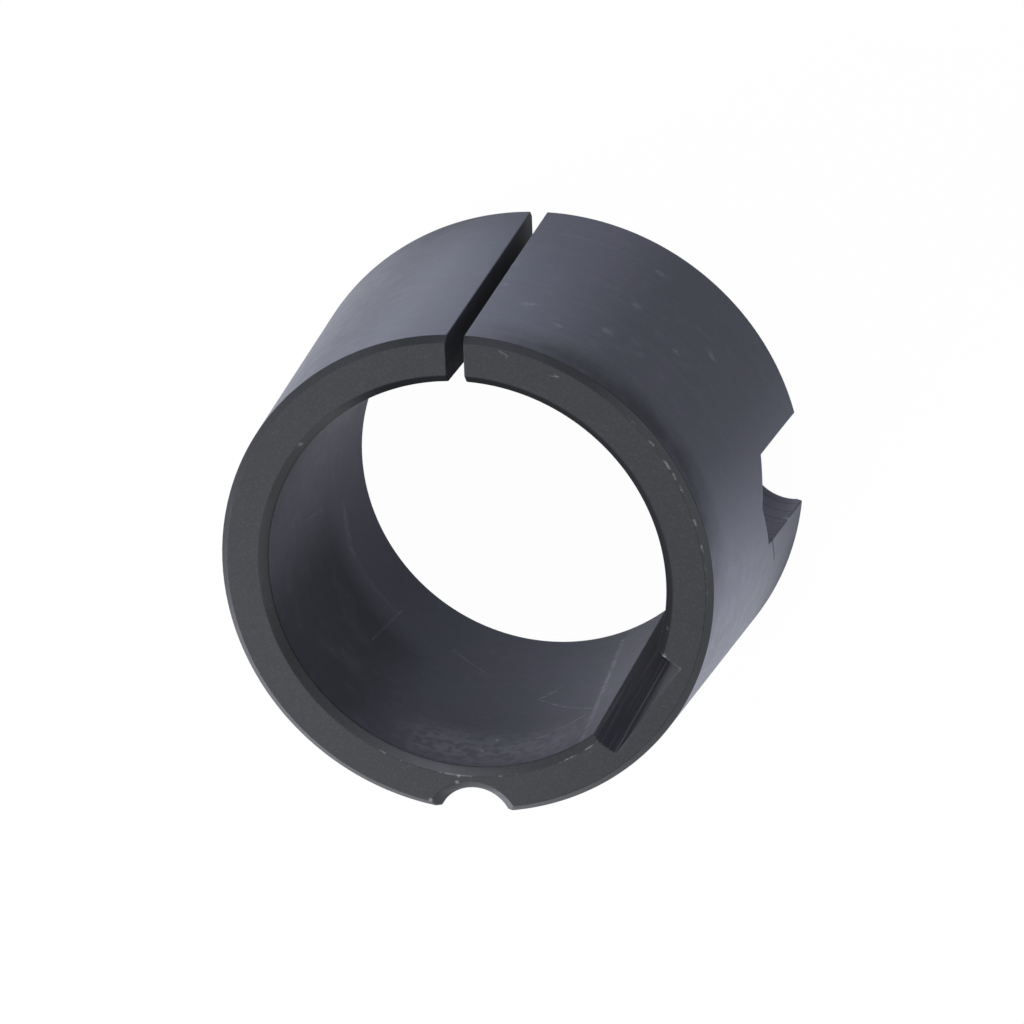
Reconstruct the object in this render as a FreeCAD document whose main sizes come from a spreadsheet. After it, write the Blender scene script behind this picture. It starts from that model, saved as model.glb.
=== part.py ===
import FreeCAD, Part
import os
import Sketcher

# Split taper bushing
# One piece of cast iron that grips a shaft when its taper is drawn into a hub.
# It stands on its large end at z = 0, with the small end up and its axis on Z.
# The middle of the keyway lies on +X. Angles turn from there towards +Y.

# Driving dimensions, in millimetres and degrees
SIZES = {
    "bore_diameter": 42,
    "large_end_wall": 7.575,
    "bush_length": 38.1,
    "half_taper_angle": 4,
    "taper_edge_chamfer": 0.65,
    "bore_edge_chamfer": 0.8,
    "keyway_width": 12,
    "keyway_depth": 2.2,
    "slit_width": 1.8,
    "slit_angle": 125.2,
    "screw_circle_inset": 1.075,
    "set_screw_hole_diameter": 10,
    "set_screw_hole_depth": 14.8,
    "set_screw_angle_from_slit": 86,
    "drill_point_angle": 118,
    "removal_thread_diameter": 9.525,
    "removal_thread_pitch": 1.5875,
    "removal_countersink_diameter": 10.2,
    "removal_countersink_angle": 90,
    "removal_angle_from_slit": 180,
}

# Radii that follow from them
# The taper starts a wall's thickness outside the bore, and the screws lie just inside its rim.
BORE_RADIUS = "Sizes.bore_diameter / 2"
LARGE_END_RADIUS = f"{BORE_RADIUS} + Sizes.large_end_wall"
SCREW_CIRCLE_RADIUS = f"{LARGE_END_RADIUS} - Sizes.screw_circle_inset"

# What a sketch constraint calls the points of a line or circle, and the sketch's own axes
START, END, CENTRE = 1, 2, 3
X_AXIS = -1
ORIGIN = (X_AXIS, START)


def write_sheet(doc):
    sheet = doc.addObject("Spreadsheet::Sheet", "Sizes")
    for row, (name, value) in enumerate(SIZES.items(), start=1):
        sheet.set(f"A{row}", name)
        sheet.set(f"B{row}", str(value))
        sheet.setAlias(f"B{row}", name)
    doc.recompute()


def origin_feature(body, role):
    return next(item for item in body.Origin.OriginFeatures if item.Role == role)


def sketch_on(body, role, name, angle=None, height=None):
    # A sketch on one of the body's own planes, turned about its normal and raised along it
    sketch = body.newObject("Sketcher::SketchObject", name)
    sketch.AttachmentSupport = [(origin_feature(body, role), "")]
    sketch.MapMode = "FlatFace"
    if angle:
        # Any small turn sets the axis, and the sheet then sets the angle.
        turn = FreeCAD.Rotation(FreeCAD.Vector(0, 0, 1), 1)
        sketch.AttachmentOffset = FreeCAD.Placement(FreeCAD.Vector(), turn)
        sketch.setExpression("AttachmentOffset.Rotation.Angle", f"({angle}) * 1 deg")
    if height:
        sketch.setExpression("AttachmentOffset.Base.z", height)
    return sketch


def drive(sketch, name, expression, kind, *places):
    # One dimension of a sketch, which follows the sheet
    value = sketch.evalExpression(expression)
    index = sketch.addConstraint(Sketcher.Constraint(kind, *places, value))
    sketch.renameConstraint(index, name)
    sketch.setExpression(f"Constraints.{name}", expression)


def closed_outline(sketch, corners):
    # Straight lines through the corners, each joined to the next
    count = len(corners)
    for index, corner in enumerate(corners):
        following = corners[(index + 1) % count]
        sketch.addGeometry(Part.LineSegment(FreeCAD.Vector(*corner), FreeCAD.Vector(*following)))
    for index in range(count):
        following = (index + 1) % count
        sketch.addConstraint(Sketcher.Constraint("Coincident", index, END, following, START))


def round_edges(shape):
    # The names of the circular edges, from the smallest radius to the largest
    found = []
    for index, edge in enumerate(shape.Edges, start=1):
        if isinstance(edge.Curve, Part.Circle):
            found.append((edge.Curve.Radius, f"Edge{index}"))
    return [name for radius, name in sorted(found)]


# Turned blank
# The section is a wall between the straight bore and the taper, turned about Z.
def turn_blank(body):
    sketch = sketch_on(body, "XZ_Plane", "Section")
    bore = sketch.evalExpression(BORE_RADIUS)
    rim = sketch.evalExpression(LARGE_END_RADIUS)
    height = sketch.evalExpression("Sizes.bush_length")
    closed_outline(sketch, [(bore, 0, 0), (rim, 0, 0), (rim, height, 0), (bore, height, 0)])
    foot, taper, top, wall = range(4)
    sketch.addConstraint(Sketcher.Constraint("PointOnObject", foot, START, X_AXIS))
    sketch.addConstraint(Sketcher.Constraint("Horizontal", foot))
    sketch.addConstraint(Sketcher.Constraint("Horizontal", top))
    sketch.addConstraint(Sketcher.Constraint("Vertical", wall))
    slope = "90 deg + Sizes.half_taper_angle * 1 deg"
    drive(sketch, "bore_radius", BORE_RADIUS, "DistanceX", *ORIGIN, foot, START)
    drive(sketch, "large_end_radius", LARGE_END_RADIUS, "DistanceX", *ORIGIN, foot, END)
    drive(sketch, "length", "Sizes.bush_length", "DistanceY", wall, END, wall, START)
    drive(sketch, "slope", slope, "Angle", taper)
    blank = body.newObject("PartDesign::Revolution", "Blank")
    blank.Profile = sketch
    blank.ReferenceAxis = (sketch, ["V_Axis"])
    blank.Angle = 360
    return blank


# Broken edges
# Both ends of the taper and both mouths of the bore are chamfered in the lathe.
def chamfer_edges(doc, body, base, name, size, pick):
    doc.recompute()
    chamfer = body.newObject("PartDesign::Chamfer", name)
    chamfer.Base = (base, pick(round_edges(base.Shape)))
    chamfer.setExpression("Size", size)
    doc.recompute()
    return chamfer


# Straight cuts
# A cut of one width runs from the axis out through the bore, over the full length.
def cut_through(body, name, width, reach, angle=None):
    sketch = sketch_on(body, "XY_Plane", f"{name}Outline", angle)
    half = sketch.evalExpression(width) / 2
    far = sketch.evalExpression(reach)
    closed_outline(sketch, [(0, -half, 0), (far, -half, 0), (far, half, 0), (0, half, 0)])
    low, end, high, start = range(4)
    sketch.addConstraint(Sketcher.Constraint("Horizontal", low))
    sketch.addConstraint(Sketcher.Constraint("Horizontal", high))
    sketch.addConstraint(Sketcher.Constraint("Vertical", end))
    sketch.addConstraint(Sketcher.Constraint("Symmetric", start, START, start, END, *ORIGIN))
    drive(sketch, "reach", reach, "DistanceX", low, START, low, END)
    drive(sketch, "width", width, "DistanceY", end, START, end, END)
    cut = body.newObject("PartDesign::Pocket", name)
    cut.Profile = sketch
    cut.Type = "ThroughAll"
    cut.Reversed = True
    return cut


# Half-round screw holes
# Each is drilled on the screw circle, beside the taper, so half of it is in the bush.
def start_hole(doc, body, name, diameter, angle, height=None):
    sketch = sketch_on(body, "XY_Plane", f"{name}Centre", angle, height)
    place = FreeCAD.Vector(sketch.evalExpression(SCREW_CIRCLE_RADIUS), 0, 0)
    hole_radius = f"({diameter}) / 2"
    outline = Part.Circle(place, FreeCAD.Vector(0, 0, 1), sketch.evalExpression(hole_radius))
    circle = sketch.addGeometry(outline)
    sketch.addConstraint(Sketcher.Constraint("PointOnObject", circle, CENTRE, X_AXIS))
    drive(sketch, "circle_radius", SCREW_CIRCLE_RADIUS, "DistanceX", *ORIGIN, circle, CENTRE)
    drive(sketch, "hole_radius", hole_radius, "Radius", circle)
    doc.recompute()
    hole = body.newObject("PartDesign::Hole", name)
    hole.Profile = sketch
    doc.recompute()
    # From the large end a hole runs up into the bush, from the small end it runs down.
    hole.Reversed = height is None
    hole.ThreadType = "None"
    hole.setExpression("Diameter", diameter)
    return hole


# The two set screws push on the drilled ends of these blind holes and drive the bush home.
def set_screw_hole(doc, body, name, angle):
    hole = start_hole(doc, body, name, "Sizes.set_screw_hole_diameter", angle)
    hole.DepthType = "Dimension"
    hole.DrillPoint = "Angled"
    hole.HoleCutType = "None"
    hole.setExpression("Depth", "Sizes.set_screw_hole_depth")
    hole.setExpression("DrillPointAngle", "Sizes.drill_point_angle * 1 deg")
    doc.recompute()
    return hole


# The removal hole runs from face to face at its tapping size, countersunk at both ends.
def removal_hole(doc, body, name, height=None):
    tapping_size = "Sizes.removal_thread_diameter - Sizes.removal_thread_pitch"
    angle = "Sizes.slit_angle + Sizes.removal_angle_from_slit"
    hole = start_hole(doc, body, name, tapping_size, angle, height)
    hole.DepthType = "ThroughAll"
    hole.HoleCutType = "Countersink"
    hole.HoleCutCustomValues = True
    hole.setExpression("HoleCutDiameter", "Sizes.removal_countersink_diameter")
    hole.setExpression("HoleCutCountersinkAngle", "Sizes.removal_countersink_angle * 1 deg")
    doc.recompute()
    return hole


def build_bush(doc):
    body = doc.addObject("PartDesign::Body", "TaperBushing")
    body.Label = "taper_bushing"
    blank = turn_blank(body)
    taper_ends = chamfer_edges(
        doc, body, blank, "TaperEnds", "Sizes.taper_edge_chamfer", lambda edges: edges[-2:]
    )
    chamfer_edges(
        doc, body, taper_ends, "BoreMouths", "Sizes.bore_edge_chamfer", lambda edges: edges[:2]
    )
    key_floor = f"{BORE_RADIUS} + Sizes.keyway_depth"
    cuts = [cut_through(body, "Keyway", "Sizes.keyway_width", key_floor)]
    for name, sign in (("FirstSetScrewHole", "-"), ("SecondSetScrewHole", "+")):
        angle = f"Sizes.slit_angle {sign} Sizes.set_screw_angle_from_slit"
        cuts.append(set_screw_hole(doc, body, name, angle))
    cuts.append(removal_hole(doc, body, "RemovalHole"))
    cuts.append(removal_hole(doc, body, "RemovalHoleSmallEnd", "Sizes.bush_length"))
    past_rim = f"{LARGE_END_RADIUS} + Sizes.large_end_wall"
    cuts.append(cut_through(body, "Slit", "Sizes.slit_width", past_rim, "Sizes.slit_angle"))
    body.Tip = cuts[-1]
    doc.recompute()
    return body, cuts


def check(doc, body, cuts):
    for item in doc.Objects:
        if "Invalid" in item.State or "Error" in item.State:
            raise RuntimeError(f"{item.Label} did not build")
    for cut in cuts:
        if cut.Shape.Volume >= cut.BaseFeature.Shape.Volume:
            raise RuntimeError(f"{cut.Label} removes nothing")
    if body.Shape.isNull() or not body.Shape.isValid():
        raise RuntimeError(f"{body.Label} has no valid shape")


def main():
    os.makedirs("parts", exist_ok=True)
    doc = FreeCAD.newDocument("TaperBushing")
    write_sheet(doc)
    body, cuts = build_bush(doc)
    check(doc, body, cuts)
    body.Shape.exportStep(f"parts/{body.Label}.step")
    print(body.Label, "volume", round(body.Shape.Volume), "solids", len(body.Shape.Solids))


main()
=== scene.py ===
# %% [markdown]
# # A split taper bushing in blackened iron
# The bush is one ring of cast iron with a tapered outside, a straight bore, a keyway, a saw cut
# through one wall and three half-round screw holes. A shaft goes through it, a hub is pressed
# over its taper, and the cut lets the ring close on the shaft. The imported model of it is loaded
# first. It fixes every size, and what follows only gives the ring its looks.

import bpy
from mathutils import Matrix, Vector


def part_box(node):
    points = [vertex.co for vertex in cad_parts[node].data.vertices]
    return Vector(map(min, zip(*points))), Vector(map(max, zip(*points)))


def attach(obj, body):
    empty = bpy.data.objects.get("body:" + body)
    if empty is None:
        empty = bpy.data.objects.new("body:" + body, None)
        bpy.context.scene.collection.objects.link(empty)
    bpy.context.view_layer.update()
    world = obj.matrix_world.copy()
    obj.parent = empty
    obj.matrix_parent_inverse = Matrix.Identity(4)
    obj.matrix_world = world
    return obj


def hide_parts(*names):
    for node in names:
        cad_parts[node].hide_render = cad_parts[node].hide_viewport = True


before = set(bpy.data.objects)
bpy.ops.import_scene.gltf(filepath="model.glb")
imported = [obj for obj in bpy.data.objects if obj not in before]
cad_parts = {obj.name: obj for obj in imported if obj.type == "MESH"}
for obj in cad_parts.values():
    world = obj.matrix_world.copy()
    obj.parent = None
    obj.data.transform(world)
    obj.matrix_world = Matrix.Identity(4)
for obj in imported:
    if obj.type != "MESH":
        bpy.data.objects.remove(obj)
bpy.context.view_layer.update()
PER_METRE = 1000
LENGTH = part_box("taper_bushing")[1].z * PER_METRE
print("the ring stands", round(LENGTH, 2), "mm tall")

# %% [markdown]
# ## Sizes
# Blender works in metres, but its bevel and boolean tools round off lengths near a micrometre.
# A 0.1 mm edge comes out cleaner when the ring is made in millimetres and shrunk at the end, so
# every size below is in millimetres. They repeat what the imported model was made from. What is
# round has its radius here, and places around the ring are angles in degrees from the keyway.

# %% The sizes of the ring
import math

BORE = 21.0
RIM = 28.575
TAPER = math.radians(4)
RIM_CHAMFER = 0.65
BORE_CHAMFER = 0.8
KEY_HALF = 6.0
KEY_FLOOR = BORE + 2.2
SLIT_HALF = 0.9
SLIT_ANGLE = 125.2
SCREW_CIRCLE = 27.5
print("keyway", 2 * KEY_HALF, "mm wide, cut", 2 * SLIT_HALF, "mm wide, at", SLIT_ANGLE, "degrees")

# %% [markdown]
# ## Outlines that change with height
# Everything on this ring runs parallel to its axis, so at each height its section is one flat
# outline. A lathe profile with four booleans would make it too, but booleans leave slivers where
# a curved cut meets a curved wall, and the small edge rounding that iron needs then tears. It is
# cleaner to write down where each wall lies at each height, and to let the mesh follow it.

# %% The two turned walls
def taper_radius(height):
    slant = RIM - height * math.tan(TAPER)
    low = RIM - RIM_CHAMFER + height * (1 - math.sin(TAPER)) / math.cos(TAPER)
    small_end = RIM - LENGTH * math.tan(TAPER) - RIM_CHAMFER
    high = small_end + (LENGTH - height) * (1 + math.sin(TAPER)) / math.cos(TAPER)
    return min(slant, low, high)


def bore_radius(height):
    mouth = BORE + BORE_CHAMFER - min(height, LENGTH - height)
    return max(BORE, mouth)


for end, height in (("large", RIM_CHAMFER), ("small", LENGTH - RIM_CHAMFER)):
    print(end, "end", round(2 * taper_radius(height), 2), "mm across at its chamfer")

# %% [markdown]
# The screw holes are drilled half in the ring and half in the hub around it. Two are blind and
# end in the cone of a drill point. The third goes right through, with a countersink at each end,
# and is tapped. So a hole is a radius at each height, as the walls are. The tapped hole is
# straight across from the cut, and the blind ones lie evenly to either side of the cut.

# %% The three holes
BLIND_ONE, BLIND_TWO, TAPPED = SLIT_ANGLE - 86, SLIT_ANGLE + 86, SLIT_ANGLE + 180
BLIND_RADIUS = 5.0
BLIND_DEPTH = 14.8
DRILL_SLOPE = math.tan(math.radians(118 / 2))
THREAD_RADIUS = 4.7625
PITCH = 1.5875
TAPPING_RADIUS = THREAD_RADIUS - PITCH / 2
SINK_RADIUS = 5.1


def blind_radius(height):
    return min(BLIND_RADIUS, BLIND_RADIUS - (height - BLIND_DEPTH) * DRILL_SLOPE)


def tapped_radius(height):
    return max(TAPPING_RADIUS, SINK_RADIUS - min(height, LENGTH - height))


print("holes at", [round(angle, 1) for angle in (BLIND_ONE, BLIND_TWO, TAPPED)], "degrees")

# %% [markdown]
# A hole's circle meets the taper at two corners. The law of cosines gives the angle from the
# middle of the hole to each corner. Above a blind hole the circle no longer reaches the taper,
# so both corners fall together on one point, and the taper closes over the hole.

# %% Points on the walls
HOLE_REACH = 14.0


def polar(radius, degrees):
    angle = math.radians(degrees)
    return radius * math.cos(angle), radius * math.sin(angle)


def taper_point(angle, height):
    return polar(taper_radius(height), angle)


def bore_point(angle, height):
    return polar(bore_radius(height), angle)


def corner_angle(hole, height):
    wall, circle = taper_radius(height), hole(height)
    if circle <= abs(SCREW_CIRCLE - wall):
        return 0.0
    cosine = (SCREW_CIRCLE ** 2 + wall ** 2 - circle ** 2) / (2 * SCREW_CIRCLE * wall)
    return math.degrees(math.acos(cosine))


def beside_hole(middle, hole, share, height):
    # From the edge of the stretch, at share -1 or 1, to the corner of the hole, at share 0
    corner = corner_angle(hole, height)
    turn = corner + (HOLE_REACH - corner) * abs(share)
    return taper_point(middle + math.copysign(turn, share), height)


def hole_wall(middle, hole, share, height):
    wall, corner = taper_radius(height), corner_angle(hole, height)
    if corner == 0:
        return polar(wall, middle)
    along, across = polar(wall, corner)
    sweep = share * math.degrees(math.atan2(across, SCREW_CIRCLE - along))
    inward, sideways = polar(hole(height), sweep)
    radius = math.hypot(SCREW_CIRCLE - inward, sideways)
    turn = math.degrees(math.atan2(sideways, SCREW_CIRCLE - inward))
    return polar(radius, middle + turn)


def slit_wall(side, wall, height):
    # The saw cut has parallel walls, so its corners lie on a straight line, not on a ray
    radius = wall(height)
    turn = math.degrees(math.asin(SLIT_HALF / radius))
    return polar(radius, SLIT_ANGLE + side * turn)


# %% [markdown]
# ## Stations around the ring
# A station is one place around the ring with a point on the outside and a point on the inside
# at every height. Stations walk once around from one wall of the cut to the other. They crowd
# together at the holes and at the keyway, and spread out evenly over the plain stretches. Each
# holds two functions that wait for a height: partial fills in everything but that.

# %% Stations on plain walls and at a hole
from functools import partial

SPACING = 1.5
stations = []


def spread(count):
    # Shares from -1 to 1 in even steps
    return [2 * step / (count - 1) - 1 for step in range(count)]


def plain_stretch(first, last):
    count = max(1, round((last - first) / SPACING))
    for step in range(count):
        angle = first + (last - first) * (step + 0.5) / count
        stations.append((partial(taper_point, angle), partial(bore_point, angle)))


def hole_stretch(middle, hole, sides=5, walls=28):
    before = [step / sides - 1 for step in range(sides)]
    after = [step / sides for step in range(1, sides + 1)]
    outside = [partial(beside_hole, middle, hole, share) for share in before]
    outside += [partial(hole_wall, middle, hole, share) for share in spread(walls + 1)]
    outside += [partial(beside_hole, middle, hole, share) for share in after]
    for share, outer in zip(spread(len(outside)), outside):
        stations.append((outer, partial(bore_point, middle + HOLE_REACH * share)))


# %% [markdown]
# The keyway is the same idea turned inside out: the outside stays round, and the inside steps
# out along one wall, across the floor and back along the other wall.

# %% Stations at the keyway
KEY_REACH = 18.2


def key_point(wall_share, floor_share, height):
    mouth = math.sqrt(bore_radius(height) ** 2 - KEY_HALF ** 2)
    return mouth + (KEY_FLOOR - mouth) * wall_share, KEY_HALF * floor_share


def key_stretch(walls=6, floor=20):
    lead = math.degrees(math.asin(KEY_HALF / BORE))
    between = (KEY_REACH + lead) / 2
    inside = [partial(bore_point, turn) for turn in (-KEY_REACH, -between)]
    inside += [partial(key_point, step / walls, -1) for step in range(walls)]
    inside += [partial(key_point, 1, share) for share in spread(floor + 1)]
    inside += [partial(key_point, step / walls, 1) for step in reversed(range(walls))]
    inside += [partial(bore_point, turn) for turn in (between, KEY_REACH)]
    for share, inner in zip(spread(len(inside)), inside):
        stations.append((partial(taper_point, KEY_REACH * share), inner))


# %% [markdown]
# Now the walk itself. It starts at the cut, passes a blind hole, the tapped hole, the keyway and
# the other blind hole, and ends at the cut again.

# %% Walk around the ring
MARGIN = 0.7
HOLE_SPAN, KEY_SPAN = HOLE_REACH + MARGIN, KEY_REACH + MARGIN
SLIT_SPAN = 3.2


def slit_station(side):
    stations.append([partial(slit_wall, side, wall) for wall in (taper_radius, bore_radius)])


slit_station(1)
plain_stretch(SLIT_ANGLE + SLIT_SPAN, BLIND_TWO - HOLE_SPAN)
hole_stretch(BLIND_TWO, blind_radius)
plain_stretch(BLIND_TWO + HOLE_SPAN, TAPPED - HOLE_SPAN)
hole_stretch(TAPPED, tapped_radius)
plain_stretch(TAPPED + HOLE_SPAN, 360 - KEY_SPAN)
key_stretch()
plain_stretch(KEY_SPAN, BLIND_ONE - HOLE_SPAN)
hole_stretch(BLIND_ONE, blind_radius)
plain_stretch(BLIND_ONE + HOLE_SPAN, SLIT_ANGLE - SLIT_SPAN)
slit_station(-1)
print(len(stations), "stations around the ring")

# %% [markdown]
# ## Heights
# The mesh needs a level wherever a wall bends: at the chamfers, the countersinks, the foot of
# each drill point and its very tip. Between those it needs only enough levels to keep its faces
# from getting long and thin.

# %% Levels up the ring
tip_run = BLIND_RADIUS + RIM - SCREW_CIRCLE + BLIND_DEPTH * DRILL_SLOPE
TIP_HEIGHT = tip_run / (DRILL_SLOPE + math.tan(TAPER))
LEVEL_GAP = 1.3
CONE_GAP = 0.3

chamfer_height = RIM_CHAMFER * math.cos(TAPER)
sink_depth = SINK_RADIUS - TAPPING_RADIUS
bends = [0, chamfer_height, BORE_CHAMFER, sink_depth, BLIND_DEPTH, TIP_HEIGHT]
bends += [LENGTH - sink_depth, LENGTH - BORE_CHAMFER, LENGTH - chamfer_height, LENGTH]

levels = [0.0]
for low, high in zip(bends, bends[1:]):
    gap = CONE_GAP if low == BLIND_DEPTH else LEVEL_GAP
    steps = max(1, round((high - low) / gap))
    levels += [low + (high - low) * (step + 1) / steps for step in range(steps)]
print(len(levels), "levels, the drill points end at", round(TIP_HEIGHT, 2), "mm")

# %% [markdown]
# ## The ring as a bent block
# Stations and levels number every point of a bent block, inside and outside. Only the six sides
# of that block are built: taper, bore, the two walls of the cut and two end faces. Every side
# shares its border points with the next, so the skin has no gaps. An end face is flat, so one
# many-sided polygon is enough, and it leaves the bevel room beside the holes. Where a blind hole
# has closed, its stations fall on one point, and merging those points closes the mesh there.

# %% Skin of the block
import bmesh
import bpy

INSIDE, OUTSIDE = 0, 1
SAME_POINT = 1e-5
last_station, last_level = len(stations) - 1, len(levels) - 1
skin = bmesh.new()
corners = {}


def corner(station, level, face):
    key = (station, level, face)
    if key not in corners:
        outer, inner = stations[station]
        rule = outer if face == OUTSIDE else inner
        corners[key] = skin.verts.new((*rule(levels[level]), levels[level]))
    return corners[key]


def side(place, rows, columns):
    for row in range(rows):
        for column in range(columns):
            square = ((row, column), (row, column + 1), (row + 1, column + 1), (row + 1, column))
            skin.faces.new([corner(*place(*point)) for point in square])


def open_edges(mesh):
    return sum(not edge.is_manifold for edge in mesh.edges)


side(lambda row, column: (column, row, OUTSIDE), last_level, last_station)
side(lambda row, column: (column, row, INSIDE), last_level, last_station)
for wall in (0, last_station):
    side(lambda row, column: (wall, row, column), last_level, OUTSIDE - INSIDE)
for level in (0, last_level):
    around = range(last_station + 1)
    outline = [corner(station, level, OUTSIDE) for station in around]
    outline += [corner(station, level, INSIDE) for station in reversed(around)]
    skin.faces.new(outline)
bmesh.ops.remove_doubles(skin, verts=skin.verts, dist=SAME_POINT)
bmesh.ops.recalc_face_normals(skin, faces=skin.faces)
print(len(skin.faces), "faces,", open_edges(skin), "open edges")

# %% [markdown]
# ## Broken edges
# No edge of a machined casting is truly sharp. A file and a tumble barrel round it by about a
# tenth of a millimetre, and that thin rounding is what catches the light. A Bevel modifier does
# it here, driven by a weight on each sharp edge, and the edges of the chamfers get half of it.
# Just below the height where the drill points end it gets thinner, because there the corners of
# a hole run together and a full rounding has no room.
# Corners that fold inwards, as at the foot of the keyway, stay as sharp as the tool left them.

# %% Weigh the edges
SHARP = math.radians(20)
# A chamfer's edges lie this near an end, and turn by less than this angle in radians
CHAMFER_ZONE, CHAMFER_FOLD = 0.9, 1.0
CHAMFER_SHARE, LEAST_SHARE = 0.5, 0.1
TIP_ZONE = 0.1
SHARE_PER_MM = 0.6


def rounding_share(edge):
    height = ((edge.verts[0].co + edge.verts[1].co) / 2).z
    at_end = min(height, LENGTH - height) < CHAMFER_ZONE
    most = CHAMFER_SHARE if at_end and edge.calc_face_angle(0) < CHAMFER_FOLD else 1.0
    if height >= TIP_HEIGHT + TIP_ZONE:
        return most
    return min(most, max(LEAST_SHARE, (TIP_HEIGHT - height) * SHARE_PER_MM))


weight = skin.edges.layers.float.new("bevel_weight_edge")
rounded = [edge for edge in skin.edges if edge.calc_face_angle(0) >= SHARP and edge.is_convex]
for edge in rounded:
    edge[weight] = rounding_share(edge)
print(len(rounded), "edges to round")

# %% [markdown]
# Weights ride along when the bmesh becomes an object. The bevel's new faces take the second
# finish, which is where the black has worn. Its loop slide is off, because it would fold faces
# over at the corners of the keyway and beside the holes.

# %% Round the edges
BREAK = 0.14
WORN_FINISH = 1


def put_in_scene(name, data):
    piece = bpy.data.objects.new(name, data)
    bpy.context.scene.collection.objects.link(piece)
    return piece


def piece_from(shape, name):
    mesh = bpy.data.meshes.new(name)
    shape.to_mesh(mesh)
    shape.free()
    return put_in_scene(name, mesh)


ring = piece_from(skin, "split_ring")
rounding = ring.modifiers.new("broken edges", "BEVEL")
rounding.limit_method = "WEIGHT"
rounding.width = BREAK
rounding.segments = 3
rounding.use_clamp_overlap = False
rounding.loop_slide = False
rounding.material = WORN_FINISH
print("sharp edges are rounded by up to", BREAK, "mm")

# %% [markdown]
# ## The thread
# The removal screw is jacked against the hub through this half thread. A texture would do from
# the front, but from the side the teeth show in profile, so they are cut. The cutter is a rod
# with one ridge wound around it. Four points across the ridge give it 60 degree flanks and a
# flat crest, and its rows follow the helix, so the crest comes out straight. The rod's core is
# thinner than the drilled hole, so only the ridge cuts, and the ridge fades over its last turns
# as a tap's lead leaves it.

# %% Shape of the thread cutter
CORE = 3.6
THREAD_START, THREAD_TOP = -2.0, 27.0
AROUND = 48
SPARE_TURNS = 2
FADE_TURNS = 3

flank = math.tan(math.radians(60 / 2))
crest_half = PITCH / 16
root_half = crest_half + (THREAD_RADIUS - CORE) * flank
crest = ((-crest_half, THREAD_RADIUS), (crest_half, THREAD_RADIUS))
RIDGE = ((-root_half, CORE), *crest, (root_half, CORE))


def rod_point(place, offset, radius):
    turn = 2 * math.pi * place / AROUND
    height = THREAD_START - SPARE_TURNS * PITCH + PITCH * place / AROUND + offset
    fade_out = max(0, (THREAD_TOP - height) / (FADE_TURNS * PITCH))
    fade_in = max(0, (height - THREAD_START) / PITCH)
    reach = CORE + (radius - CORE) * min(1, fade_out, fade_in)
    height = min(max(height, THREAD_START), THREAD_TOP)
    return reach * math.cos(turn), reach * math.sin(turn), height


print("ridge", round(THREAD_RADIUS - CORE, 3), "mm high,", round(2 * root_half, 3), "mm at its root")

# %% [markdown]
# The ridge is skinned first, row by row. The core between two turns of it is then one strip of
# faces from the top of a row to the foot of the same place one turn on. Two flat caps close it.

# %% Wind the thread cutter
SLIVER = 1e-4

turns = math.ceil((THREAD_TOP - THREAD_START) / PITCH) + 2 * SPARE_TURNS
rod = bmesh.new()
rows = []
for place in range(turns * AROUND + 1):
    rows.append([rod.verts.new(rod_point(place, *point)) for point in RIDGE])
for here, there in zip(rows, rows[1:]):
    for low in range(len(RIDGE) - 1):
        rod.faces.new((here[low], there[low], there[low + 1], here[low + 1]))
for place in range((turns - 1) * AROUND):
    here, there = rows[place], rows[place + 1]
    above, beyond = rows[place + AROUND], rows[place + AROUND + 1]
    rod.faces.new((here[-1], there[-1], beyond[0], above[0]))
bmesh.ops.remove_doubles(rod, verts=rod.verts, dist=SLIVER)
bmesh.ops.dissolve_degenerate(rod, edges=rod.edges, dist=SLIVER)
bmesh.ops.holes_fill(rod, edges=[edge for edge in rod.edges if edge.is_boundary])
bmesh.ops.recalc_face_normals(rod, faces=rod.faces)
bmesh.ops.translate(rod, vec=(*polar(SCREW_CIRCLE, TAPPED), 0), verts=rod.verts)
print(len(rod.faces), "cutter faces,", open_edges(rod), "open edges")

# %% [markdown]
# The cut comes after the bevel, so the teeth keep their sharp crests. The stack is then turned
# into one plain mesh, the cutter is thrown away, and the ring is shrunk to metres.

# %% Cut the thread and settle the mesh
from mathutils import Matrix

CREASE = math.radians(38)

cutter = piece_from(rod, "thread_cutter")
cut = ring.modifiers.new("thread", "BOOLEAN")
cut.operation = "DIFFERENCE"
cut.solver = "EXACT"
cut.object = cutter

depsgraph = bpy.context.evaluated_depsgraph_get()
settled = bpy.data.meshes.new_from_object(ring.evaluated_get(depsgraph))
ring.modifiers.clear()
ring.data = settled
rod_mesh = cutter.data
bpy.data.objects.remove(cutter)
bpy.data.meshes.remove(rod_mesh)

welded = bmesh.new()
welded.from_mesh(settled)
bmesh.ops.remove_doubles(welded, verts=welded.verts, dist=2 * SLIVER)
bmesh.ops.dissolve_degenerate(welded, edges=welded.edges, dist=SLIVER)
for edge in welded.edges:
    edge.smooth = edge.calc_face_angle(0) < CREASE
for face in welded.faces:
    face.smooth = True
triangles = sum(len(face.verts) - 2 for face in welded.faces)
print(triangles, "triangles,", open_edges(welded), "open edges")
bmesh.ops.transform(welded, matrix=Matrix.Scale(1 / PER_METRE, 4), verts=welded.verts)
welded.to_mesh(settled)
welded.free()

shading = ring.modifiers.new("flat faces stay flat", "WEIGHTED_NORMAL")
shading.keep_sharp = True
shading.weight = 80

# %% [markdown]
# ## Shader sums as plain sums
# A finish is mostly arithmetic on masks. One class wraps an output socket so that masks add,
# subtract and multiply as numbers do, and one method adds any other node from its type, its
# settings and what its sockets get.

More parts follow.
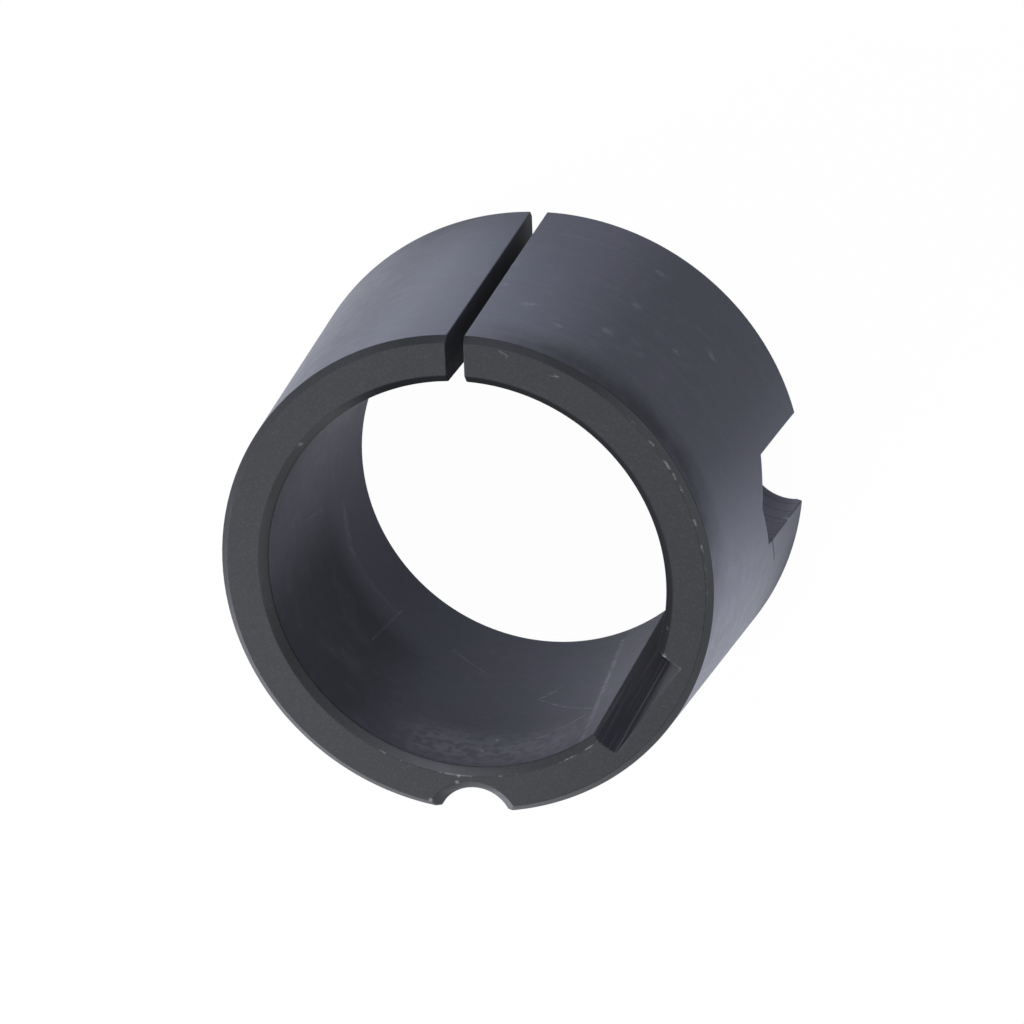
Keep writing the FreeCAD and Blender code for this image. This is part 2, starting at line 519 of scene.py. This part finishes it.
# %% A small language for shaders
class Wire:
    def __init__(self, finish, node, output=0):
        self.finish, self.node = finish, node
        self.socket = node.outputs[output] if node.outputs else None

    def out(self, name):
        return Wire(self.finish, self.node, name)

    def sum(self, operation, first, second):
        return self.finish.add("Math", {"operation": operation}, {0: first, 1: second})

    def __add__(self, other):
        return self.sum("ADD", self, other)

    def __sub__(self, other):
        return self.sum("SUBTRACT", self, other)

    def __rsub__(self, other):
        return self.sum("SUBTRACT", other, self)

    def __mul__(self, other):
        return self.sum("MULTIPLY", self, other)

    def __abs__(self):
        return self.sum("ABSOLUTE", self, 0)

    __radd__ = __add__
    __rmul__ = __mul__


# %% [markdown]
# A finish is one material with its node tree. Besides the method that adds any node, it has
# short names for the four nodes that the masks use most. A ramp rises from nothing at its low
# end to all at its high end, and falls where the low end is given as the larger number. A Mix
# node has sockets for every type it can mix, so its colours are picked by their numbers.

# %% Nodes of a finish
COLOUR_A, COLOUR_B, COLOUR_OUT = 6, 7, 2


class Finish:
    def __init__(self, name):
        self.material = bpy.data.materials.new(name)
        self.material.use_nodes = True
        self.tree = self.material.node_tree
        self.tree.nodes.clear()

    def add(self, kind, settings=None, sockets=None):
        node = self.tree.nodes.new("ShaderNode" + kind)
        for name, value in (settings or {}).items():
            setattr(node, name, value)
        for name, value in (sockets or {}).items():
            if isinstance(value, Wire):
                self.tree.links.new(value.socket, node.inputs[name])
            else:
                node.inputs[name].default_value = value
        return Wire(self, node)

    def ramp(self, value, low, high):
        sockets = {"Value": value, "From Min": low, "From Max": high}
        return self.add("MapRange", {"interpolation_type": "SMOOTHSTEP"}, sockets)

    def noise(self, place, scale, detail):
        sockets = {"Vector": place, "Scale": scale, "Detail": detail}
        return self.add("TexNoise", None, sockets).out("Fac")

    def vector(self, x, y, z):
        return self.add("CombineXYZ", None, {"X": x, "Y": y, "Z": z})

    def blend(self, mask, first, second):
        sockets = {"Factor": mask}
        for slot, colour in ((COLOUR_A, first), (COLOUR_B, second)):
            sockets[slot] = colour if isinstance(colour, Wire) else (*colour, 1)
        return self.add("Mix", {"data_type": "RGBA"}, sockets).out(COLOUR_OUT)


# %% [markdown]
# ## Where a point is on the ring
# Every mark below is placed by where it lies on the real ring: its angle around the axis, its
# height and its distance from the axis. They are worked out once for each finish, in
# millimetres and degrees, so the marks read like notes taken off a bench. How much a surface
# leans tells the end faces and chamfers from the upright walls.

# %% Place and lean of a point
class Place:
    def __init__(self, finish):
        add = finish.add
        metres = add("TexCoord").out("Object")
        self.spot = add("VectorMath", {"operation": "SCALE"}, {0: metres, "Scale": PER_METRE})
        split = add("SeparateXYZ", None, {0: self.spot})
        self.x, self.y, self.z = (split.out(axis) for axis in "XYZ")
        self.flat = finish.vector(self.x, self.y, 0)
        self.radius = add("VectorMath", {"operation": "LENGTH"}, {0: self.flat}).out("Value")
        turn = add("Math", {"operation": "ARCTAN2"}, {0: self.y, 1: self.x})
        self.angle = turn * math.degrees(1)
        normal = add("NewGeometry").out("True Normal")
        self.lean = abs(add("SeparateXYZ", None, {0: normal}).out("Z"))


# %% [markdown]
# ## How each surface was made
# The end faces are ground, the walls are turned, the keyway is broached, the cut is sawn and the
# holes are drilled. Each tool leaves its own tone and its own lines, so each surface gets a mask.
# A mask from places costs no extra material, and it follows the ring if a size changes.

# %% A mask for each tool
MID_WALL = BORE + 2
SOFT = 0.1


class Made:
    def __init__(self, finish, at):
        ramp = finish.ramp
        outer_half = ramp(at.radius, MID_WALL, MID_WALL + 1)
        inner_half = ramp(at.radius, MID_WALL, MID_WALL - 1)
        # Lean is nothing on a wall, about 0.7 on a chamfer and 1 on an end face
        self.ground = ramp(at.lean, 0.45, 0.65)
        chamfered = self.ground * ramp(at.lean, 0.95, 0.8)
        self.rim, self.mouth = chamfered * outer_half, chamfered * inner_half
        upright = 1 - self.ground

        cosine, sine = polar(1, SLIT_ANGLE)
        along, across = at.x * cosine + at.y * sine, abs(at.y * cosine - at.x * sine)
        self.sawn = upright * ramp(along, 0, 1) * ramp(across, SLIT_HALF + SOFT, SLIT_HALF)

        beside_key = ramp(abs(at.y), KEY_HALF + SOFT, KEY_HALF) * ramp(at.x, BORE - 3, BORE - 2)
        in_key = ramp(at.radius, BORE, BORE + SOFT) * ramp(at.radius, KEY_FLOOR + 1.5, KEY_FLOOR + 1)
        self.broached = upright * beside_key * in_key

        depth = RIM - at.z * math.tan(TAPER) - at.radius
        below = ramp(depth, 0.1, 0.3) * ramp(at.radius, BORE + 0.2, BORE + 0.8)
        self.drilled = upright * below * (1 - self.broached) * (1 - self.sawn)
        self.turned = upright * (1 - self.sawn) * (1 - self.broached) * (1 - self.drilled)
        self.taper, self.bore = self.turned * outer_half, self.turned * inner_half


# %% [markdown]
# ## Scratches and spots
# A shaft pushed in and out has left a long light line beside the keyway and a few crossed
# scratches. Painting them would need a picture, so each is a straight line between two places
# on a wall laid flat, or on the flat end: the shader measures how far a point is from the line.

# %% Lines and spots on a wall
from mathutils import Vector


def line(finish, wall, start, end, width):
    run = Vector((*end, 0)) - Vector((*start, 0))
    offset = finish.add("VectorMath", {"operation": "SUBTRACT"}, {0: wall, 1: (*start, 0)})
    step = {0: offset, 1: run / run.length_squared}
    share = finish.add("VectorMath", {"operation": "DOT_PRODUCT"}, step).out("Value")
    share = finish.add("Clamp", None, {"Value": share})
    foot = finish.add("VectorMath", {"operation": "SCALE"}, {0: run, "Scale": share})
    gap = finish.add("VectorMath", {"operation": "DISTANCE"}, {0: offset, 1: foot}).out("Value")
    return finish.ramp(gap, width, 0)


def spot(finish, place, middle, radius):
    gap = finish.add("VectorMath", {"operation": "DISTANCE"}, {0: place, 1: middle}).out("Value")
    return finish.ramp(gap, radius, 0)


def on_ring(angle, radius, height):
    return (*polar(radius, angle), height)


def laid_flat(radius, angle, height):
    # A place on a round wall as millimetres around it and up it
    return angle * math.radians(radius), height


# %% [markdown]
# The marks themselves, as angles from the keyway and heights from the large end. In the bore,
# the long line is strong, the crossed scratches are fine, and the three widest are faint cloudy
# streaks. The rubbed spots on the taper are only a haze.

# %% The marks
BORE_LINES = (
    # angle and height at both ends, width in millimetres, strength
    ((-30, 4), (-21, 37.5), 0.5, 1.0),
    ((-48, 18.5), (-43.5, 16.3), 0.15, 1.0),
    ((-46, 17), (-42.5, 14.5), 0.16, 0.5),
    ((-47.5, 18.5), (-25.5, 26), 0.15, 0.9),
    ((-40.5, 30.5), (-26, 27), 0.15, 0.9),
    ((-32.5, 29), (-27, 27.5), 0.14, 0.6),
    ((-137, 9.5), (-124, 11.3), 1.2, 0.3),
    ((-124, 11.3), (-101, 10.7), 0.8, 0.15),
    ((-80, 10), (-68, 12.5), 0.2, 0.35),
    ((-101.5, 20), (-99.5, 9.5), 0.18, 0.35),
    ((-145.5, 24), (-142.5, 17), 0.18, 0.45),
    ((-67, 33), (-34, 33), 7.0, 0.4),
)
BORE_SPECKS = (
    # angle, height, radius in millimetres
    (-55, 33, 0.35),
    (-52.5, 30, 0.4),
    (-171, 20, 0.4),
)
RUBBED_SPOTS = (
    # angle, height, radius in millimetres
    (94, 17, 0.9),
    (94, 7, 0.8),
    (96, 26, 1.0),
    (114, 27, 1.3),
    (106, 30, 0.9),
    (74, 14, 1.2),
    (81, 20, 0.8),
    (122, 22.5, 0.8),
    (157, 12, 1.6),
)
FACE_LINES = (
    # angle and distance from the axis at both ends, width in millimetres
    ((114.6, 25.1), (112.4, 24.8), 0.12),
    ((113.9, 24.75), (112.5, 24.6), 0.1),
    ((101.5, 24.3), (98.8, 24.8), 0.12),
    ((101, 24.8), (99.3, 24.4), 0.1),
)
NICKS = (
    # angle, distance from the axis, height, radius in millimetres
    (16, 21.9, 38.0, 0.5),
    (24, 21.6, 37.9, 0.35),
    (-65, 25.15, 38.0, 0.36),
    (-58.7, 22.6, 38.0, 0.33),
    (-58.3, 21.9, 38.0, 0.25),
    (29.1, 27.9, 6.4, 0.7),
    (175.7, 21.6, 37.9, 0.4),
)
print(len(BORE_LINES), "lines in the bore,", len(RUBBED_SPOTS), "rubbed spots,", len(NICKS), "nicks")

# %% [markdown]
# ## Black iron
# The finish is a thin black oxide with a trace of oil. On the matt ground faces it looks nearly
# neutral. On the smooth walls the iron under it takes part in the reflection, so they shine
# half as a metal does, with a touch of blue, and look lighter the lower the eye is. That comes
# from the shader. Each tool's mask lays its own tone over the last, and each chamfer has
# painted light: it is painted lighter on one side of the ring.

# %% Tones of the black finish
GROUND = (0.0215, 0.023, 0.0245)
RIM_TONE = (0.042, 0.044, 0.048)
RIM_PAINTED_LIGHT = (0.064, 0.066, 0.071)
MOUTH_TONE = (0.030, 0.0315, 0.0335)
MOUTH_PAINTED_LIGHT = (0.072, 0.074, 0.078)
# Dark tone of the painted shade and of the tools' dark marks
SHADE_AND_MARK_TONE = (0.015, 0.016, 0.018)
TURNED = (0.035, 0.035, 0.051)
SLATE = (0.032, 0.037, 0.051)
BROACHED = (0.028, 0.029, 0.040)
SAWN = (0.020, 0.021, 0.027)
DRILLED = (0.095, 0.090, 0.130)
HAZE = (0.24, 0.24, 0.28)
BARE = (0.30, 0.30, 0.31)


def tones(finish, at, made):
    clouds = finish.noise(at.spot, 0.16, 4.0)
    colour = finish.blend(finish.ramp(clouds, 0.4, 0.65), TURNED, SLATE)
    # Painted light: the rim's chamfer is painted lighter on the keyway's side of the ring, the
    # mouth's chamfer on the far side
    rim = finish.blend(finish.ramp(at.x, 5, 20), RIM_TONE, RIM_PAINTED_LIGHT)
    mouth = finish.blend(finish.ramp(at.x, -10, -20), MOUTH_TONE, MOUTH_PAINTED_LIGHT)
    layers = (
        (made.ground, GROUND),
        (made.rim, rim),
        (made.mouth, mouth),
        (made.broached, BROACHED),
        (made.drilled, DRILLED),
        (made.sawn, SAWN),
    )
    for mask, tone in layers:
        colour = finish.blend(mask, colour, tone)
    return colour


# %% [markdown]
# Lines left by the tools are noise stretched the way the tool moved: around the ring for the
# lathe and the drill, along it for the broach, and in shallow arcs for the saw. They go into the
# bump, and a little into the tone, because oxide takes differently on a ridge than in a groove.

# %% Tool lines
CLOSE, DRAWN_OUT = 5.0, 0.05


def tool_lines(finish, at, made):
    around = finish.vector(at.x * DRAWN_OUT, at.y * DRAWN_OUT, at.z * CLOSE)
    lengthwise = finish.vector(at.x * CLOSE, at.y * CLOSE, at.z * DRAWN_OUT)
    sweep = at.radius + at.z * at.z * 0.0015
    arcs = finish.vector(sweep * 4.5, at.z * 0.06, 0)
    turned = (made.turned + made.drilled) * finish.noise(around, 1.0, 4.0)
    broached = made.broached * finish.noise(lengthwise, 1.0, 3.0)
    return turned + broached + made.sawn * finish.noise(arcs, 1.0, 3.0)


# %% [markdown]
# All light marks add up to two masks: haze, where the black is rubbed thin, and bare, where
# metal shows. Patchy noise breaks the lines up, so none looks ruled. Between the long line and
# the keyway the whole bore is a little lighter.

# %% Haze
LINE_LEAN = 0.27


def bore_haze(finish, at, broken):
    wall = finish.vector(at.angle * math.radians(BORE), at.z, 0)
    lines = 0
    for start, end, width, strength in BORE_LINES:
        places = laid_flat(BORE, *start), laid_flat(BORE, *end)
        lines = lines + line(finish, wall, *places, width) * strength
    haze = lines * (0.25 + broken * 0.75)
    for angle, height, radius in BORE_SPECKS:
        haze = haze + spot(finish, at.spot, on_ring(angle, BORE, height), radius)
    past_line = finish.ramp(at.angle - at.z * LINE_LEAN, -31.0, -30.0)
    return haze + past_line * finish.ramp(at.angle, 0, -2) * 0.22


def taper_haze(finish, at, broken):
    haze = 0
    for angle, height, radius in RUBBED_SPOTS:
        middle = on_ring(angle, taper_radius(height), height)
        haze = haze + spot(finish, at.spot, middle, radius)
    return haze * broken * 0.3


def end_haze(finish, at, broken):
    haze = 0
    for (angle, radius), (end_angle, end_radius), width in FACE_LINES:
        places = polar(radius, angle), polar(end_radius, end_angle)
        haze = haze + line(finish, at.flat, *places, width)
    top = finish.ramp(at.z, LENGTH - 0.3, LENGTH - 0.1)
    return top * haze * broken * 0.3


def haze_mask(finish, at, made):
    broken = finish.ramp(finish.noise(at.spot, 1.1, 5.0), 0.38, 0.6)
    key_corner = finish.ramp(abs(at.x - KEY_FLOOR + 0.15), 0.13, 0.04) * made.broached * 0.3
    walls = made.bore * bore_haze(finish, at, broken) + made.taper * taper_haze(finish, at, broken)
    return key_corner + walls + made.ground * end_haze(finish, at, broken)


# %% [markdown]
# Bare metal shows at a few nicks. Along the bore's mouth and the rim of the small end it shows
# as a row of tiny dashes too, where noise along the edge is high, and only over part of the way.

# %% Bare metal
FACE_EDGE = RIM - RIM_CHAMFER - LENGTH * math.tan(TAPER)
MOUTH_EDGE = BORE + BORE_CHAMFER


def bare_mask(finish, at):
    along_edge = finish.vector(at.angle * 0.35, at.radius * 0.8, 0)
    dashes = finish.ramp(finish.noise(along_edge, 1.0, 3.0), 0.52, 0.62)
    crumbs = finish.ramp(finish.noise(at.spot, 3.0, 2.0), 0.25, 0.5)
    top = finish.ramp(at.z, LENGTH - 0.5, LENGTH - 0.2)
    mouth = finish.ramp(abs(at.radius - MOUTH_EDGE), 0.1, 0.02)
    rim = finish.ramp(abs(at.radius - FACE_EDGE - 0.1), 0.15, 0.04)
    worn_mouth = finish.ramp(at.angle, -92, -80) * finish.ramp(at.angle, -12, -18)
    worn_rim = finish.ramp(at.angle, 28, 46) * finish.ramp(at.angle, 88, 80)
    bare = top * dashes * crumbs * (mouth * worn_mouth * 0.5 + rim * worn_rim * 0.7)
    for angle, radius, height, size in NICKS:
        bare = bare + spot(finish, at.spot, on_ring(angle, radius, height), size) * crumbs
    return bare


# %% [markdown]
# Some places are dull as well as dark. The taper has painted shade between the cut and the first
# blind hole, strongest just under the small-end chamfer, and fainter across the ring from the
# keyway, and the bore has painted shade in one place. The tools left marks at the blind hole:
# rings inside it and, beside it, a short dark line where a chip was dragged along the taper.

# %% Painted shade and drill marks
# Painted shade on the taper: darker and matt between the cut and the first blind hole, and across
# from the keyway
def taper_painted_shade(finish, at):
    patchy = finish.ramp(finish.noise(at.spot, 0.3, 2.0), 0.2, 0.7) * 0.5 + 0.5
    under_rim = finish.ramp(at.z, LENGTH - 7, LENGTH - 1.5) * finish.ramp(at.angle, 20, 55)
    broad = finish.ramp(at.angle, 38, 65) * finish.ramp(at.angle, 112, 88)
    broad = broad + finish.ramp(at.x, -20, -25)
    return under_rim * finish.ramp(at.angle, 128, 105) * patchy * 0.75 + broad * 0.5


# Painted shade in the bore: darker and matt between -150 and -75 degrees, in its upper part
def bore_painted_shade(finish, at):
    cloudy = finish.ramp(finish.noise(at.spot, 0.2, 3.0), 0.3, 0.55) * 0.4 + 0.6
    around = finish.ramp(at.angle, -150, -125) * finish.ramp(at.angle, -75, -100)
    return finish.ramp(at.z, 11, 17) * around * cloudy * 0.7


def drag_line(finish, at):
    wall = finish.vector(at.angle * math.radians(RIM), at.z, 0)
    return line(finish, wall, laid_flat(RIM, 28.6, 13.4), laid_flat(RIM, 22.4, 10.9), 0.3)


def drill_rings(finish, at):
    depth = finish.vector(0, 0, at.z)
    return finish.ramp(finish.noise(depth, 2.0, 2.0), 0.5, 0.62)


# %% [markdown]
# The rim's chamfer is painted darker beside the cut and across from the keyway, and the bore's
# mouth from the keyway to the cut: painted shade. A darker colour alone would leave the shine,
# so each darkened place has two shares: how far its colour goes to dark, and how much of a
# plain matt shader is mixed in. The tools' dark marks take the same two shares.

# %% Marks and painted shade
def marks_and_painted_shade(finish, at, made):
    # Painted shade: the rim's chamfer beside the cut and across from the keyway, and the mouth from
    # the keyway to the cut, go darker and matt
    by_cut = finish.ramp(at.angle, 75, 100) * finish.ramp(at.angle, 150, 128)
    rim = made.rim * (by_cut + finish.ramp(at.x, -15, -22) * 0.5)
    inner_edge = made.ground * finish.ramp(at.radius, MOUTH_EDGE + 0.15, MOUTH_EDGE)
    mouth = inner_edge * finish.ramp(at.angle, -3, 3) * finish.ramp(at.angle, 165, 140)
    shaded_walls = made.taper * taper_painted_shade(finish, at) + made.bore * bore_painted_shade(finish, at)
    marks = made.taper * drag_line(finish, at) + made.drilled * drill_rings(finish, at) * 0.4
    dark = shaded_walls * 0.8 + rim * 0.9 + mouth + marks * 0.7
    matt = (shaded_walls + rim + marks) * 0.5 + mouth * 0.85
    return dark, matt, mouth


# %% [markdown]
# Put together, the tone comes first, then what darkens it, then what makes it lighter. Ground,
# sawn and broached surfaces are rougher than turned ones. The bump is a few micrometres of tool
# lines and grain. The same iron is made twice: once as it is, and once for the rounded edges,
# where the black has worn thin in patches.

# %% The finish put together
BUMP_METRES = 0.000008
SHINE = 0.36
METAL_SHARE = 0.45
FILM_TINT = (0.84, 0.86, 1.0, 1)


def black_iron(name, worn):
    finish = Finish(name)
    at = Place(finish)
    made = Made(finish, at)
    grain = finish.noise(at.spot, 5.0, 5.0)
    blotch = finish.noise(at.spot, 0.5, 4.0)
    lines = tool_lines(finish, at, made)

    # Painted shade and the tools' dark marks: a darker colour and a share of matt shader
    dark, matt_share, mouth_painted_shade = marks_and_painted_shade(finish, at, made)
    colour = finish.blend(dark, tones(finish, at, made), SHADE_AND_MARK_TONE)
    hazes = [
        made.turned * finish.ramp(blotch, 0.5, 0.8) * 0.08,
        made.broached * finish.ramp(lines, 0.5, 0.62) * 0.1,
        finish.ramp(grain, 0.45, 0.75) * 0.05,
        finish.ramp(lines, 0.45, 0.75) * 0.06,
        haze_mask(finish, at, made) * 0.85,
    ]
    if worn:
        thin = finish.ramp(finish.noise(at.spot, 1.1, 5.0), 0.5, 0.7)
        hazes.append(thin * (1 - made.sawn) * (1 - mouth_painted_shade) * 0.45)
    for haze in hazes:
        colour = finish.blend(haze, colour, HAZE)
    colour = finish.blend(bare_mask(finish, at) * 0.7, colour, BARE)

    rough = 0.31 + made.ground * 0.2 + made.sawn * 0.3 + made.broached * 0.15
    rough = rough + (grain - 0.5) * 0.08 + (blotch - 0.5) * 0.12
    height = lines * 0.4 + grain * 0.4
    sockets = {
        "Base Color": colour,
        "Roughness": rough,
        "Metallic": (made.turned + made.drilled) * METAL_SHARE,
        "Normal": finish.add("Bump", None, {"Height": height, "Distance": BUMP_METRES}),
        "Specular Tint": FILM_TINT,
        "Specular IOR Level": SHINE,
    }
    shiny = finish.add("BsdfPrincipled", None, sockets)
    matt = finish.add("BsdfDiffuse", None, {"Color": (*SHADE_AND_MARK_TONE, 1)})
    iron = finish.add("MixShader", None, {0: matt_share, 1: shiny, 2: matt})
    finish.add("OutputMaterial", None, {"Surface": iron})
    print(name, "has", len(finish.tree.nodes), "nodes")
    return finish.material


for name, worn in (("blackened_iron", False), ("worn_edges", True)):
    ring.data.materials.append(black_iron(name, worn))

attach(ring, "root")
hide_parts("taper_bushing")

# %% [markdown]
# ## Floor
# The bush stands on plain white paper. The paper glows as well as scatters, but only for rays
# that the camera, a reflection or a glass sends out, so it looks white without lighting the
# iron. A reflection gets less of the glow than the camera does, because at full strength it
# would make the dark walls too light.

# %% White paper
REACH = 3.0
CAMERA_GLOW = 0.98
MIRROR_GLOW = 0.22
PAPER = (0.86, 0.88, 0.96, 1)
WHITE = (1, 1, 1, 1)

sheet = bpy.data.meshes.new("paper")
sheet_corners = [(-REACH, -REACH, 0), (REACH, -REACH, 0), (REACH, REACH, 0), (-REACH, REACH, 0)]
sheet.from_pydata(sheet_corners, [], [(0, 1, 2, 3)])
floor = put_in_scene("paper_floor", sheet)

paper = Finish("white_paper")
ray = paper.add("LightPath")
scatter = paper.add("BsdfDiffuse", None, {"Color": PAPER})
glow = paper.add("Emission", None, {"Color": WHITE, "Strength": 1.0})
seen = ray.out("Is Camera Ray") * CAMERA_GLOW
mirrored = (ray.out("Is Glossy Ray") + ray.out("Is Transmission Ray")) * MIRROR_GLOW
surface = paper.add("MixShader", None, {0: seen + mirrored, 1: scatter, 2: glow})
paper.add("OutputMaterial", None, {"Surface": surface})
floor.data.materials.append(paper.material)
print("the paper is", 2 * REACH, "m wide")

# %% [markdown]
# ## Light
# The walls show mostly what lies on the paper around the ring, so the lamps are placed for the
# light and shadow they put there. The strongest is low and across the ring from the camera, so
# the shadow falls towards the camera and darkens that side of the taper. The second is beside
# the camera and lights the bore. A weak one overhead lifts the chamfers. A dim even sky fills
# the shadows.

# %% Lamps and sky
LAMP_DISTANCE = 0.8
SKY_STRENGTH = 0.20


def direction(azimuth, elevation):
    rise = math.radians(elevation)
    return Vector(on_ring(azimuth, math.cos(rise), math.sin(rise)))


def lamp(name, azimuth, elevation, size, watts):
    light = bpy.data.lights.new(name, "AREA")
    light.shape = "DISK"
    light.size = size
    light.energy = watts
    back = direction(azimuth, elevation)
    holder = put_in_scene(name, light)
    holder.location = back * LAMP_DISTANCE
    holder.rotation_mode = "QUATERNION"
    holder.rotation_quaternion = back.to_track_quat("Z", "Y")


lamp("key_lamp", 256, 30, 0.5, 8.5)
lamp("rim_lamp", 128, 41, 0.35, 4.6)
lamp("top_lamp", 60, 72, 0.5, 1.0)

sky = bpy.data.worlds.new("soft_sky")
sky.use_nodes = True
bpy.context.scene.world = sky
sky.node_tree.nodes.clear()
background = sky.node_tree.nodes.new("ShaderNodeBackground")
background.inputs["Strength"].default_value = SKY_STRENGTH
sky_out = sky.node_tree.nodes.new("ShaderNodeOutputWorld")
sky.node_tree.links.new(background.outputs[0], sky_out.inputs[0])
bpy.context.scene.view_settings.view_transform = "Standard"
print("three lamps", LAMP_DISTANCE, "m from the middle of the paper")

# %% [markdown]
# ## Camera
# The view is from the small end, about 24 degrees off the axis, with a long lens. The angles
# come from the outlines of the ring in the reference picture. The roll turns the picture so that
# the cut is at the top.

# %% Camera
AIM = Vector((0.00004, 0.00086, 0.01905))
AZIMUTH, ELEVATION, ROLL = 90.116, 66.080, -144.499
DISTANCE = 0.47894
LENS = 158.858
SENSOR = 36

eye = bpy.data.cameras.new("camera")
eye.lens = LENS
eye.sensor_width = SENSOR
eye.clip_start, eye.clip_end = 0.01, 20
camera = put_in_scene("camera", eye)
back = direction(AZIMUTH, ELEVATION)
level_view = back.to_track_quat("Z", "Y").to_matrix()
rolled_view = level_view @ Matrix.Rotation(math.radians(ROLL), 3, "Z")
camera.location = AIM + back * DISTANCE
camera.rotation_mode = "QUATERNION"
camera.rotation_quaternion = rolled_view.to_quaternion()
bpy.context.scene.camera = camera
print("the camera is", round(90 - ELEVATION, 1), "degrees off the axis")
